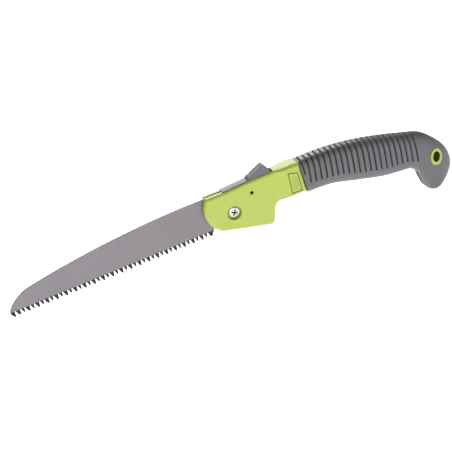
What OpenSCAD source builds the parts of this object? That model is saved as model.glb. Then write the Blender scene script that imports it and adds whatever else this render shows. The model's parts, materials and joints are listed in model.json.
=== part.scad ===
// Folding pruning saw, open and locked, standing upright on the hook of its handle.
// X runs along the saw with the handle towards +X, Y is across the flat of the blade
// and Z is up. The shapes are drawn about the blade pivot and then moved so that the
// origin is under the middle of the saw, level with its lowest point.

/* [Blade] */
// Length of the toothed edge
blade_len = 180; // [150:1:216]
// Thickness of the blade steel
blade_t = 1.4; // [1:0.1:2]
// Distance from one tooth to the next
tooth_pitch = 4.16; // [3.5:0.02:5]
// Depth of a tooth from its tip to its gullet
tooth_depth = 5.4; // [4.4:0.1:6]
// How much shorter every second tooth is
tooth_step = 0.9; // [0:0.1:1.2]
// Width of the blunt tip of a large tooth
tip_land = 1.6; // [0.8:0.05:1.8]
// Height of the slope across the tip of a large tooth
tip_rise = 0.9; // [0.3:0.1:1.2]
// How far the front of a tooth leans back from its gullet to its tip
rake_lean = 0.55; // [0.1:0.05:0.8]
// Width of the bottom of a gullet
gullet_w = 0.7; // [0.5:0.05:1]
// Height of the pivot above the tooth tips
edge_drop = 17; // [14.2:0.1:20]
// Height of the straight back of the blade above the pivot
spine_rise = 21.4; // [19:0.1:22]
// Angle that the blade turns between open and folded
fold_angle = 166; // [165:0.5:168]

/* [Head] */
// Thickness of the head across both cheeks
head_w = 12; // [11.5:0.1:14.4]
// Radius of the rounded nose of the cheeks
nose_r = 25.3; // [24.5:0.1:28]
// Depth of the chin below the pivot
chin_drop = 25.9; // [22:0.1:30]
// Height of the front of the head above the pivot
head_rise = 22; // [21.5:0.1:24]
// Gap between the blade and each of its washers
washer_gap = 0.03; // [0.02:0.01:0.06]
// Thickness of a blade washer
washer_t = 0.27; // [0.2:0.01:0.5]

/* [Pivot] */
// Outside radius of the bush that the blade turns on
bush_r = 4.5; // [4:0.1:5.4]
// Radius of the pivot screw's shank
screw_r = 2.5; // [2:0.1:3]
// Radius of the pivot screw's head
screw_head_r = 5; // [4.2:0.1:5.8]
// Depth from the cheek's face to the top of the screw head
screw_sink = 1; // [0.5:0.1:1.5]
// Radial clearance between a shaft and the hole that turns on it
run_gap = 0.05; // [0.02:0.01:0.1]

/* [Latch] */
// Distance of the latch pin behind the blade pivot
latch_x = 19.2; // [18:0.1:23]
// Height of the latch pin above the blade pivot
latch_z = 12.5; // [11.5:0.1:14]
// Radius of the latch pin
latch_pin_r = 1.6; // [1.3:0.1:1.9]
// Width of the plastic latch cap
cap_w = 8; // [6.6:0.1:9]
// Clearance around the latch in its recess
latch_gap = 0.2; // [0.15:0.05:0.4]
// Height of the thumb ramp above the top of the head
thumb_rise = 9; // [7.5:0.1:10.8]
// Width of the lock tooth
lock_w = 2.3; // [1.9:0.1:2.6]

/* [Handle] */
// Height of the handle at its thickest
grip_h = 38; // [31.5:0.5:46]
// Thickness of the grip at its thickest
grip_w = 20; // [17:0.5:24]
// Thickness of the collar between head and grip
collar_w = 16.8; // [15:0.1:20]
// Width of the slot that the folded blade lies in
slot_w = 3; // [2.5:0.1:3.6]
// Gap between the folded teeth and the roof of the slot
roof_gap = 1; // [0.8:0.1:1.4]
// Thickness of the core under the grip
core_w = 10.4; // [9:0.1:12.4]
// Thickness of the rubber over the edges of the core
skin = 3; // [2.5:0.1:3.6]

/* [Hanging eyelet] */
// Radius of the hanging hole
hole_r = 4.6; // [3.8:0.1:5]
// Wall of the eyelet's barrel
eyelet_wall = 1.3; // [1:0.1:1.6]
// Width of the eyelet's visible rim
rim_w = 3; // [2.2:0.1:3.6]
// How far the rim stands out from the grip
rim_proud = 0.5; // [0.2:0.1:1]

/* [Hidden] */
$fn = 64;

lime = "#C5D471";
grey = "#7C7C80";
dark_grey = "#6E6D75";
steel = "#9A9496";
bright = "#C9CBCE";

near = -1;
far = 1;

// The blade. Its tooth line is parallel to X when the saw is open.
heel_x = -23.8;
tip_x = heel_x - blade_len;
nose_x = tip_x - 2.3;
nose_z = -edge_drop + 6.5;
arc_start = -30;
arc_end = tip_x + 19;
spine_bow = 0.00068;
tang_r = 14.5;
lug_r = 17;
lug_w = 1.45;
lug_gap = 0.1;
lock_z = tang_r + 0.35;

// How much narrower the lock tooth is at its foot, so that it swings out past the lug behind it.
lock_taper = 0.5;

// Where the folded blade lies, measured from the pivot.
lie = 180 - fold_angle;
tip_reach = norm([nose_x, nose_z]);
slot_end_r = tip_reach + 1.8;
anchor = slot_end_r * [cos(lie), -sin(lie)];

// The head: two cheeks around a slot that takes the blade, its washers and the lock plate.
nose_centre = [-0.5, 7.5];
cheek_in = blade_t / 2 + washer_gap + washer_t;
cheek_out = head_w / 2;
plate_t = 2 * cheek_in - 2 * 0.15;
head_back_x = 46;
top_slope = [[-5.2, 0], [18.3, 1.3], [42, 1.7], [66, 2.3]];
chin_x = 29.7;
throat_z = -6.1;

// The latch and its recess.
cap_front = -5.2;
cap_back = 41;
cap_half = cap_w / 2;
bar_t = 1.9;
bar_z = head_rise - 1.5;
step_x = 20.5;
well_z = head_rise - 5;
spring_x = 33.3;
spring_r = 2.3;
spring_wire = 0.6;
spring_seat_z = 13.4;
spring_top_z = bar_z + 4.5;
spring_turns = 6;

// The stop that the back of the blade meets when the saw is open.
stop_r = 1.5;
stop_at = [-6.5, 18.2];

// The handle, as rows along it from the collar to the hook.
grip_x = 68.8;
core_half = core_w / 2;
collar_half = collar_w / 2;
grip_half = grip_w / 2;
stations = 42;
ring_points = 15;

// The hanging eyelet.
eyelet_at = anchor + [-5, 27];
barrel_r = hole_r + eyelet_wall;
rim_r = hole_r + rim_w;
rim_out = 0.945 * grip_half + rim_proud;
rim_in = rim_out - 2.2;

// Screws that close the two halves of the frame.
case_at = [[57, 12], [112, 10], [163, -6]];
case_r = 1.5;
case_head_r = 2.8;
case_head_h = 1.8;
case_deep = 4;

// The lowest point and the two ends of the saw, which set the origin.
hook_low = anchor[1] - 9.9;
hook_far = anchor[0] + 13.1;
origin_shift = [-(nose_x + hook_far) / 2, 0, -hook_low];

// ---------- Helpers ----------

// A point on a smooth curve through a list of points, at place t along the list.
function curve(list, t) =
    let (
        i = min(floor(t), len(list) - 2),
        u = t - i,
        a = list[max(i - 1, 0)],
        b = list[i],
        c = list[i + 1],
        d = list[min(i + 2, len(list) - 1)]
    )
    0.5 * (2 * b + (c - a) * u + (2 * a - 5 * b + 4 * c - d) * u * u
        + (3 * b - a - 3 * c + d) * u * u * u);

function bezier(a, b, c, d, u) =
    pow(1 - u, 3) * a + 3 * pow(1 - u, 2) * u * b + 3 * (1 - u) * u * u * c + pow(u, 3) * d;

function arc(centre, r, from, to, steps) =
    [for (i = [0 : steps]) let (a = from + (to - from) * i / steps) centre + r * [cos(a), sin(a)]];

function signed_pow(v, e) = sign(v) * pow(abs(v), e);

// Draws everything about the pivot and moves it to the saw's own origin.
module placed() translate(origin_shift) children();

// A flat shape in X and Z, given thickness from y0 to y1.
module slab(y0, y1) translate([0, y1, 0]) rotate([90, 0, 0]) linear_extrude(y1 - y0) children();

// A round bar across the saw at the point at, from y0 to y1.
module bar(at, r, y0, y1) translate([at[0], y1, at[1]]) rotate([90, 0, 0]) cylinder(h = y1 - y0, r = r);

// A round bar on one side, between two distances from the middle plane.
module side_bar(side, at, r, inner, outer) {
    bar(at, r, side == near ? -outer : inner, side == near ? -inner : outer);
}

module side_slab(side, inner, outer) {
    slab(side == near ? -outer : inner, side == near ? -inner : outer) children();
}

// ---------- Blade ----------

function spine_at(x) = spine_rise - spine_bow * pow(min(x - arc_start, 0), 2) * blade_scale(x);
function blade_scale(x) = pow(180 / blade_len, 2);

spine_points = [
    for (i = [0 : 24]) let (x = arc_start + (arc_end - arc_start) * i / 24) [x, spine_at(x)]
];
nose_points = [
    for (i = [1 : 10])
        bezier(
            [arc_end, spine_at(arc_end)], [arc_end - 8.6, spine_at(arc_end) - 2.4],
            [nose_x + 2.9, nose_z + 6], [nose_x, nose_z], i / 10
        )
];

tooth_count = floor((blade_len - 5) / tooth_pitch) + 1;

// One tooth: the bottom of its gullet, a sloping back, a blunt tip and a steep front.
// Large and small teeth take turns, and a large one starts earlier.
function tooth(i) =
    let (
        large = i % 2 == 0,
        lead = large ? 0.21 : -0.21,
        x = heel_x - (tooth_count - 1 - i) * tooth_pitch + lead,
        start = x - tooth_pitch - 2 * lead,
        root = -edge_drop + tooth_depth,
        z = -edge_drop + (large ? 0 : tooth_step),
        share = large ? 1 : 0.6
    )
    [
        [start + rake_lean, root],
        [start + rake_lean + gullet_w, root],
        [x - tip_land * share, z + tip_rise * share],
        [x, z]
    ];

tooth_points = [for (i = [0 : tooth_count - 1]) each tooth(i)];

module blade_outline() {
    polygon(concat(
        [[stop_at[0] - stop_r - run_gap, 0], [stop_at[0] - stop_r - run_gap, spine_rise - 1.5],
            [stop_at[0] - stop_r - 1.5, spine_rise]],
        spine_points,
        nose_points,
        [[nose_x, nose_z - 2], [nose_x + 1.2, nose_z - 4.6], [tip_x + 0.2, -edge_drop + 0.25],
            [tip_x + 0.8, -edge_drop]],
        tooth_points,
        [[heel_x + 1.2, -edge_drop + 3], [-18.5, -8], [-13, -4]]
    ));
    circle(r = tang_r);
    for (at = [90, 90 - fold_angle]) rotate(at - 90) lock_lugs();
}

// Two lugs on the rim of the tang, one on each side of the lock tooth.
module lock_lugs() {
    for (side = [-1, 1]) {
        x = side * (lock_w / 2 + lug_gap + lug_w / 2);
        translate([x - lug_w / 2, tang_r - 2]) square([lug_w, sqrt(lug_r * lug_r - 9) - tang_r + 2]);
    }
}

module blade() {
    color(steel) placed() slab(-blade_t / 2, blade_t / 2) difference() {
        blade_outline();
        circle(r = bush_r + run_gap);
    }
}

// ---------- Frame: cheek, collar and core of each half ----------

function top_z(x) =
    head_rise + lookup(x, top_slope);

head_points = concat(
    arc(nose_centre, nose_r, 145, 237, 22),
    [[0, -chin_drop + 8], [chin_x - 1.5, -chin_drop + 0.2]],
    arc([chin_x + 0.2, -chin_drop + 4.6], 4.6, 260, 340, 8),
    arc([chin_x + 14.8, throat_z - 7.5], 7.5, 158, 90, 8),
    [[head_back_x - 2, throat_z], [head_back_x - 2, top_z(head_back_x - 2)], [42, top_z(42)],
        [18.3, top_z(18.3)], [-5.2, top_z(-5.2)], [-18.4, head_rise - 0.1]]
);

// The handle as rows of [top point, belly point, half thickness].
function tooth_roof(x) = edge_drop / cos(lie) - x * tan(lie);
function straight_row(f, lean, margin, tall, half) =
    let (
        x = grip_x + f * (anchor[0] - grip_x),
        z = tooth_roof(x) - margin
    )
    [[x + lean, z + tall * grip_h / 38], [x, z], half * grip_half];
function hook_row(top, belly, half) = [anchor + top, anchor + belly, half * grip_half];

grip_rows = [
    straight_row(0, -3.6, 9.2, 32.9, 0.95),
    straight_row(0.18, 1, 4.6, 33.9, 1),
    straight_row(0.36, 5, 5.2, 37.1, 1),
    straight_row(0.55, 6, 5.7, 38, 1),
    straight_row(0.685, 8, 3.9, 35.2, 0.98),
    hook_row([-16, 54], [-30.5, 22.3], 0.96),
    hook_row([-2.2, 43.3], [-23, 15.6], 0.94),
    hook_row([8.8, 29.9], [-20.4, 8], 0.92),
    hook_row([13.1, 15.4], [-18, 0], 0.9),
    hook_row([10, 4.2], [-14.2, -5.8], 0.82),
    hook_row([3, -4.6], [-10, -9.1], 0.66),
    hook_row([-2.5, -8.8], [-6, -9.9], 0.3)
];

// Half a ring around the section between a top and a belly point, bulging to one side.
function half_ring(row, side, power) =
    let (
        mid = (row[0] + row[1]) / 2,
        arm = (row[0] - row[1]) / 2
    )
    [
        for (i = [0 : ring_points - 1])
            let (
                a = 180 * i / (ring_points - 1),
                p = mid + arm * signed_pow(cos(a), 2 / power)
            )
            [p[0], side * row[2] * pow(max(sin(a), 0), 2 / power), p[1]]
    ];

// A solid through half rings, flat on the middle plane. Both sides wind outwards.
module half_sweep(rings, side) {
    n = len(rings[0]);
    last = (len(rings) - 1) * n;
    faces = concat(
        [[for (j = [0 : n - 1]) j]],
        [[for (j = [0 : n - 1]) last + n - 1 - j]],
        [
            for (i = [0 : len(rings) - 2], j = [0 : n - 1])
                let (k = (j + 1) % n)
                each [[i * n + j, (i + 1) * n + j, i * n + k], [i * n + k, (i + 1) * n + j, (i + 1) * n + k]]
        ]
    );
    polyhedron(
        [for (ring = rings) each ring],
        side == near ? faces : [for (f = faces) [for (j = [len(f) - 1 : -1 : 0]) f[j]]]
    );
}

// The section is a rounded box along the straight of the grip and an ellipse in the hook.
function grip_power(t) = lookup(t, [[0, 3.6], [3.5, 3.4], [5.5, 2.6], [8, 2.3], [11, 2.05]]);

function grip_ring(t, side) =
    half_ring([
        curve([for (r = grip_rows) r[0]], t), curve([for (r = grip_rows) r[1]], t),
        curve([for (r = grip_rows) r[2]], t)
    ], side, grip_power(t));

module grip_body(side) {
    half_sweep(
        [for (i = [0 : stations]) grip_ring((len(grip_rows) - 1) * i / stations, side)],
        side
    );
}

// The collar swells from the head to the front of the grip.
function collar_row(x, half) =
    [[[x, top_z(x)], [x, throat_z], half], 7];
grip_start = [grip_rows[0][0], grip_rows[0][1]];
function front_edge(f) = grip_start[0] + f * (grip_start[1] - grip_start[0]);
collar_rows = [
    [[[head_back_x - 6, top_z(head_back_x) - 0.5], [head_back_x - 6, throat_z + 0.5], cheek_out - 0.5], 9],
    [[[head_back_x, top_z(head_back_x)], [head_back_x, throat_z], swell(0.3)], 8],
    collar_row(head_back_x + 4, swell(0.8)),
    collar_row(head_back_x + 8, swell(1)),
    [[front_edge(0.01), front_edge(0.9), swell(1)], 6]
];
function swell(f) = cheek_out + f * (collar_half - cheek_out);

module collar(side) {
    half_sweep([for (r = collar_rows) half_ring(r[0], side, r[1])], side);
}

// The core follows the grip, a skin's thickness inside it.
core_last = 8.4;
function core_edge(t, which) =
    let (
        top = curve([for (r = grip_rows) r[0]], t),
        belly = curve([for (r = grip_rows) r[1]], t),
        inward = (belly - top) / norm(belly - top)
    )
    which == 0 ? top + skin * inward : belly - skin * inward;

core_points = concat(
    [[grip_x - 14, core_edge(0, 0)[1]]],
    [for (i = [0 : 28]) core_edge(core_last * i / 28, 0)],
    [for (i = [28 : -1 : 0]) core_edge(core_last * i / 28, 1)],
    [[grip_x - 14, core_edge(0, 1)[1]]]
);

module core(side) {
    side_slab(side, 0, core_half) polygon(core_points);
}

// The room that the blade sweeps through: under a roof above the folded teeth and
// inside the reach of its tip.
module slot_outline() {
    roof = edge_drop + roof_gap;
    meet = asin(roof / slot_end_r);
    polygon(concat(
        [[20, -90], [20, tooth_roof(20) + roof_gap / cos(lie)]],
        [[head_back_x - 6, tooth_roof(head_back_x - 6) + roof_gap / cos(lie)]],
        arc([0, 0], slot_end_r, meet - lie, -30, 24),
        [[anchor[0], -110]]
    ));
}

module blade_slot() slab(-slot_w / 2, slot_w / 2) slot_outline();

// Everything that the latch needs cut out of the top of the head.
module latch_recess() {
    half = cap_half + latch_gap;
    translate([cap_front - 0.3, -half, bar_z - latch_gap]) cube([step_x - cap_front + 0.3, 2 * half, 20]);
    translate([step_x - 0.01, -half, well_z]) cube([cap_back + 1.7 - step_x, 2 * half, 20]);
    translate([spring_x, 0, spring_seat_z]) cylinder(h = 20, r = spring_r + 0.4);
}

// The groove around the panel on the near side of the collar.
module collar_panel() {
    slab(-collar_half - 1, -collar_half + 0.6) difference() {
        panel_shape();
        offset(delta = -0.9) panel_shape();
    }
}

module panel_shape() {
    polygon([[53.5, -2.5], [64, -2.7], [62.8, 15.8], [53.4, 18.6]]);
}

module frame_half(side) {
    difference() {
        union() {
            side_slab(side, cheek_in, cheek_out) polygon(head_points);
            collar(side);
            core(side);
        }
        slab(-cheek_in, cheek_in) translate([-60, -60]) square([60 + cap_back + 1.7, 120]);
        blade_slot();
        latch_recess();
        bar([latch_x, latch_z], latch_pin_r + 0.01, -cheek_out - 1, cheek_out + 1);
        bar(stop_at, stop_r + 0.01, -4.2, 4.2);
        bar([0, 0], bush_r + 0.01, -screw_seat, screw_seat);
        bar([0, 0], screw_r + 0.1, -cheek_out - 1, cheek_out + 1);
        bar(eyelet_at, barrel_r + 0.01, -grip_half, grip_half);
    }
}

module frame_near() {
    color(lime) placed() difference() {
        frame_half(near);
        bar([0, 0], pocket_r, -cheek_out - 1, -screw_seat);
        collar_panel();
        for (at = case_at) bar(at, case_r, -case_deep, 1);
    }
}

module frame_far() {
    color(lime) placed() difference() {
        frame_half(far);
        translate([0, nut_seat, 0]) rotate([-90, 0, 0]) cylinder(h = 10, r = nut_r + 0.15, $fn = 6);
        bar([0, 0], nut_washer_r + 0.15, nut_seat - nut_washer_t, cheek_out + 1);
        for (at = case_at) {
            bar(at, case_r + 0.15, -1, 20);
            bar(at, case_head_r + 0.15, case_seat, 20);
        }
    }
}

// ---------- Pivot ----------

screw_head_h = 2;
spring_washer_t = 0.8;
screw_seat = cheek_out - screw_sink - screw_head_h - spring_washer_t;
screw_washer_r = bush_r + 0.4;
pocket_r = max(screw_head_r, screw_washer_r) + 1.5;
nut_t = 2.6;
nut_r = 4.6;
nut_washer_r = 4.9;
nut_washer_t = 0.7;
nut_seat = cheek_out - nut_t - 0.3;
case_seat = core_half - case_head_h - 0.2;

module pivot_screw() {
    head_y = -cheek_out + screw_sink;
    color(bright) placed() difference() {
        union() {
            bar([0, 0], screw_head_r, head_y, head_y + screw_head_h);
            bar([0, 0], screw_r, head_y + screw_head_h - 0.01, nut_seat + nut_t + 0.1);
        }
        for (a = [0, 90]) {
            translate([0, head_y - 1, 0]) rotate([0, a + 30, 0]) translate([-2.4, 0, -0.5]) cube([4.8, 2.2, 1]);
        }
    }
}

module screw_washer() {
    y = -screw_seat - spring_washer_t;
    color(bright) placed() ring_bar(screw_washer_r, screw_r + 0.15, y, y + spring_washer_t);
}

module ring_bar(outer, inner, y0, y1) {
    difference() {
        bar([0, 0], outer, y0, y1);
        bar([0, 0], inner, y0 - 1, y1 + 1);
    }
}

module pivot_bush() {
    color(bright) placed() ring_bar(bush_r, screw_r + 0.08, -screw_seat, screw_seat);
}

module blade_washer(side) {
    inner = blade_t / 2 + washer_gap;
    y0 = side == near ? -inner - washer_t : inner;
    color(bright) placed() ring_bar(bush_r + 4.4, bush_r + 0.05, y0, y0 + washer_t);
}

module nut_washer() {
    color(bright) placed() ring_bar(nut_washer_r, screw_r + 0.15, nut_seat - nut_washer_t, nut_seat);
}

module pivot_nut() {
    color(bright) placed() difference() {
        translate([0, nut_seat, 0]) rotate([-90, 0, 0]) cylinder(h = nut_t, r = nut_r, $fn = 6);
        bar([0, 0], screw_r + 0.02, 0, 20);
    }
}

module stop_pin() {
    color(bright) placed() bar(stop_at, stop_r, -4.1, 4.1);
}

// ---------- Latch ----------

module latch_pin() {
    color(bright) placed() bar([latch_x, latch_z], latch_pin_r, -cheek_out + 1.6, cheek_out - 0.4);
}

thumb_top = top_z(35) + thumb_rise;
cap_bottom = bar_z;

module cap_outline() {
    polygon([
        [cap_front, cap_bottom], [cap_front, cap_bottom + bar_t],
        [18.3, top_z(18.3) + 0.6], [19.4, top_z(19) + 2.3], [22, top_z(22) + 3],
        [34.6, thumb_top - 0.4], [35.4, thumb_top - 0.1], [36, thumb_top - 0.7],
        [cap_back, top_z(cap_back) + 0.3], [cap_back, cap_bottom + 0.8], [step_x + 1.5, cap_bottom + 0.4],
        [step_x - 1, cap_bottom]
    ]);
}

// Room inside the cap for the steel plate that is moulded into it.
module plate_tang() {
    polygon([
        [-3.2, bar_z + 0.9], [-3.2, 17.9], [-lock_w / 2, 17.9], [-lock_w / 2, lock_z],
        [lock_w / 2 - lock_taper, lock_z], [lock_w / 2, 17.9], [10, 17.6],
        [latch_x - 4, latch_z], [latch_x + 4, latch_z - 1.5],
        [29.5, 19.6], [29.5, bar_z + 6.2], [24, bar_z + 4.2], [19, bar_z + 0.9]
    ]);
}

module lock_plate() {
    color(steel) placed() slab(-plate_t / 2, plate_t / 2) difference() {
        union() {
            plate_tang();
            translate([latch_x, latch_z]) circle(r = 4.5);
        }
        translate([latch_x, latch_z]) circle(r = latch_pin_r + run_gap);
    }
}

module latch_cap() {
    color(dark_grey) placed() difference() {
        slab(-cap_half, cap_half) cap_outline();
        slab(-plate_t / 2 - 0.01, plate_t / 2 + 0.01) plate_tang();
        translate([spring_x, 0, 0]) cylinder(h = spring_top_z, r = spring_r + 0.4);
        for (i = [0 : 6]) thumb_groove(i);
    }
}

// One of the shallow cuts that give the thumb ramp its grip.
module thumb_groove(i) {
    start = [22.8, 0, top_z(22) + 3];
    rise = thumb_top - 0.4 - start[2];
    slope = atan2(rise, 34.6 - 22);
    translate(start) rotate([0, -slope, 0]) translate([1 + 1.9 * i, -cap_half + 1.2, -0.1]) {
        cube([1, cap_w - 2.4, 1]);
    }
}

// A coil spring of round wire with its axis upright, made by sweeping a hexagon.
module latch_spring() {
    steps = 14 * spring_turns;
    r = spring_r - spring_wire / 2;
    low = spring_seat_z + spring_wire / 2 + 0.02;
    rise = spring_top_z - spring_seat_z - spring_wire - 0.04;
    points = [
        for (i = [0 : steps], j = [0 : 5])
            let (
                turn = 360 * spring_turns * i / steps,
                a = 60 * j,
                d = r + spring_wire / 2 * cos(a)
            )
            [d * cos(turn), d * sin(turn), low + rise * i / steps + spring_wire / 2 * sin(a)]
    ];
    faces = concat(
        [[for (j = [5 : -1 : 0]) j], [for (j = [0 : 5]) steps * 6 + j]],
        [
            for (i = [0 : steps - 1], j = [0 : 5])
                let (k = (j + 1) % 6, a = i * 6, b = i * 6 + 6)
                each [[a + j, a + k, b + j], [a + k, b + k, b + j]]
        ]
    );
    color(bright) placed() translate([spring_x, 0, 0]) polyhedron(points, faces);
}

// ---------- Grip and eyelet ----------

module grip_half_body(side) {
    difference() {
        grip_body(side);
        core(side);
        blade_slot();
        bar(eyelet_at, barrel_r + 0.01, -30, 30);
        side_bar(side, eyelet_at, rim_r + 0.01, rim_in, 30);
    }
}

module grip_near() {
    color(grey) placed() grip_half_body(near);
}

module grip_far() {
    color(grey) placed() difference() {
        grip_half_body(far);
        for (at = case_at) bar(at, case_head_r + 0.15, case_seat, 30);
    }
}

module hanging_eyelet() {
    color(lime) placed() difference() {
        union() {
            bar(eyelet_at, barrel_r, -rim_in - 0.01, rim_in);
            side_bar(near, eyelet_at, rim_r, rim_in, rim_out);
        }
        bar(eyelet_at, hole_r, -30, 30);
    }
}

module eyelet_ring() {
    color(lime) placed() difference() {
        side_bar(far, eyelet_at, rim_r, rim_in, rim_out);
        bar(eyelet_at, hole_r, -30, 30);
    }
}

module case_screws() {
    color(bright) placed() for (at = case_at) {
        difference() {
            union() {
                bar(at, case_r, -case_deep, case_seat + 0.01);
                bar(at, case_head_r, case_seat, case_seat + case_head_h);
            }
            for (a = [0, 90]) {
                translate([at[0], case_seat + case_head_h - 1, at[1]]) rotate([0, a, 0])
                    translate([-1.4, 0, -0.35]) cube([2.8, 2, 0.7]);
            }
        }
    }
}

blade();
frame_near();
frame_far();
grip_near();
grip_far();
pivot_screw();
screw_washer();
pivot_bush();
blade_washer(near);  // blade_washer_near
blade_washer(far);  // blade_washer_far
nut_washer();
pivot_nut();
stop_pin();
latch_pin();
lock_plate();
latch_cap();
latch_spring();
hanging_eyelet();
eyelet_ring();
case_screws();
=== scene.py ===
"""Folding pruning saw: the finished look of every visible piece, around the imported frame.

Shapes are worked out in millimetres about the blade's pivot, with X towards the hook of the
handle, Y away from the head of the pivot screw and Z up. Each finished mesh is then placed
in the frame's own metres.
"""

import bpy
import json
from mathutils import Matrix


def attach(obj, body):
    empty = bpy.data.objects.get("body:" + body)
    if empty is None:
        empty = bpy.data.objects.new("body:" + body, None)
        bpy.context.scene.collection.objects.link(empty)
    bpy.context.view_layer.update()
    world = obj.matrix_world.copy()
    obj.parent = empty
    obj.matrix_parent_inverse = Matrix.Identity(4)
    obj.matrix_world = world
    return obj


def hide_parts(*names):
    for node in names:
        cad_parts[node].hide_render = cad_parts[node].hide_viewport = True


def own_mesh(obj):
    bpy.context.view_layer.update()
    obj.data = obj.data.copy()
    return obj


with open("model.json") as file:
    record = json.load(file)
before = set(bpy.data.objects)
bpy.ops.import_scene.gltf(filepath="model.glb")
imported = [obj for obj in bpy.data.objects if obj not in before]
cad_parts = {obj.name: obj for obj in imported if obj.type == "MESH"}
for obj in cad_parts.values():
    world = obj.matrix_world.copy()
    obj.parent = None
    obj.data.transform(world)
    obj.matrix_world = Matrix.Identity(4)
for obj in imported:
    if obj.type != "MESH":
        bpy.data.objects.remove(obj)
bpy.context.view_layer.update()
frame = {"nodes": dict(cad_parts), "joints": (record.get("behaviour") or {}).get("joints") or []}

import json
import logging
import math
from collections.abc import Sequence
from dataclasses import dataclass, field
from enum import Enum

import bmesh
import bpy
import numpy as np
from mathutils import Matrix, Vector
from mathutils.bvhtree import BVHTree

LOG = logging.getLogger("pruning_saw")
MM = 0.001
PIVOT = Vector(next(j for j in frame["joints"] if j["name"] == "blade_fold")["pos_m"])
TO_FRAME = Matrix.Translation(PIVOT) @ Matrix.Scale(MM, 4)

Point = Sequence[float]
Outline = list[tuple[float, float]]

# Places and radii that more than one piece is built around, in millimetres.
STOP_AT, STOP_R = (-6.5, 18.2), 1.5
LATCH_PIN_AT, LATCH_PIN_R = (19.2, 12.5), 1.75
SPRING_AT, SPRING_ROOM_R = (33.3, 0.0), 2.7
SCREWS_AT = ((57.0, 12.0), (112.0, 10.0), (163.0, -6.0))
SCREW_SEAT_R, SCREW_SEAT_Y = 2.95, 3.2


class Side(Enum):
    """A side of the saw's middle plane, by the sign of Y there."""

    NEAR = -1
    FAR = 1


class Cut(Enum):
    """What a boolean does with its tools."""

    REMOVE = "DIFFERENCE"
    ADD = "UNION"


# ---------- Curves and outlines ----------


def blend_along(points: np.ndarray, t: float) -> np.ndarray:
    """A point on a smooth curve through a list of points.

    Args:
        points: The points, one row each.
        t: The place along the list, 0 at the first point.

    Returns:
        The point at t.
    """
    last = len(points) - 1
    i = int(min(max(math.floor(t), 0), last - 1))
    u = t - i
    a, b, c, d = points[max(i - 1, 0)], points[i], points[i + 1], points[min(i + 2, last)]
    return 0.5 * (
        2 * b + (c - a) * u + (2 * a - 5 * b + 4 * c - d) * u**2 + (3 * b - a - 3 * c + d) * u**3
    )


def bezier(a: Point, b: Point, c: Point, d: Point, u: float) -> tuple[float, float]:
    """A point at u on the cubic curve with ends a and d and handles b and c."""
    weights = ((1 - u) ** 3, 3 * (1 - u) ** 2 * u, 3 * (1 - u) * u * u, u**3)
    return tuple(sum(w * p[k] for w, p in zip(weights, (a, b, c, d))) for k in (0, 1))


def arc(centre: Point, radius: float, start: float, end: float, steps: int) -> Outline:
    """Points along an arc in X and Z.

    Args:
        centre: X and Z of its centre.
        radius: Its radius.
        start: The angle of its first point, in degrees.
        end: The angle of its last point, in degrees.
        steps: The number of chords.

    Returns:
        The points, one more than the chords.
    """
    angles = np.radians(np.linspace(start, end, steps + 1))
    return [(centre[0] + radius * math.cos(a), centre[1] + radius * math.sin(a)) for a in angles]


def smoothstep(t: float | np.ndarray) -> float | np.ndarray:
    """The usual smooth rise from 0 at 0 to 1 at 1, flat outside them."""
    t = np.clip(t, 0.0, 1.0)
    return t * t * (3 - 2 * t)


def inset(outline: Outline, depth: float) -> Outline:
    """The outline moved inwards by a depth, corner by corner.

    Args:
        outline: A closed outline in either direction, with no corner sharper than the depth.
        depth: The distance to move, in millimetres.

    Returns:
        An outline with the same number of points.
    """
    p = np.asarray(outline, float)
    before, after = p - np.roll(p, 1, axis=0), np.roll(p, -1, axis=0) - p
    area = np.sum(p[:, 0] * np.roll(p[:, 1], -1) - np.roll(p[:, 0], -1) * p[:, 1])
    turn = math.copysign(1.0, area)
    n1, n2 = (
        turn * np.stack([-way[:, 1], way[:, 0]], 1) / np.linalg.norm(way, axis=1)[:, None]
        for way in (before, after)
    )
    half = n1 + n2
    scale = np.maximum(np.sum(half * half, axis=1) / 2, 0.35)[:, None]
    return [tuple(q) for q in p + depth * half / scale]


# ---------- Meshes ----------


def solid(name: str, points: np.ndarray, faces: list[Sequence[int]]) -> bpy.types.Object:
    """An object with a closed mesh whose faces point outwards.

    Args:
        name: The object's name.
        points: Its corners in millimetres about the pivot.
        faces: The corners of each face, by number.

    Returns:
        The new object, linked to the scene.
    """
    mesh = bpy.data.meshes.new(name)
    mesh.from_pydata([tuple(map(float, p)) for p in points], [], [tuple(f) for f in faces])
    work = bmesh.new()
    work.from_mesh(mesh)
    bmesh.ops.remove_doubles(work, verts=work.verts, dist=1e-4)
    bmesh.ops.dissolve_degenerate(work, edges=work.edges, dist=1e-5)
    bmesh.ops.recalc_face_normals(work, faces=work.faces)
    work.to_mesh(mesh)
    work.free()
    return linked(name, mesh)


def linked(name: str, data: bpy.types.ID) -> bpy.types.Object:
    """A new object of a name that holds a mesh, lamp or camera, linked to the scene.

    Args:
        name: The object's name.
        data: The mesh, lamp or camera.

    Returns:
        The new object.
    """
    made = bpy.data.objects.new(name, data)
    bpy.context.scene.collection.objects.link(made)
    return made


def flipped(made: bpy.types.Object) -> bpy.types.Object:
    """Turns a closed mesh's faces outwards.

    Args:
        made: The object with the mesh.

    Returns:
        The same object.
    """
    work = bmesh.new()
    work.from_mesh(made.data)
    bmesh.ops.recalc_face_normals(work, faces=work.faces)
    work.to_mesh(made.data)
    work.free()
    return made


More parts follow.
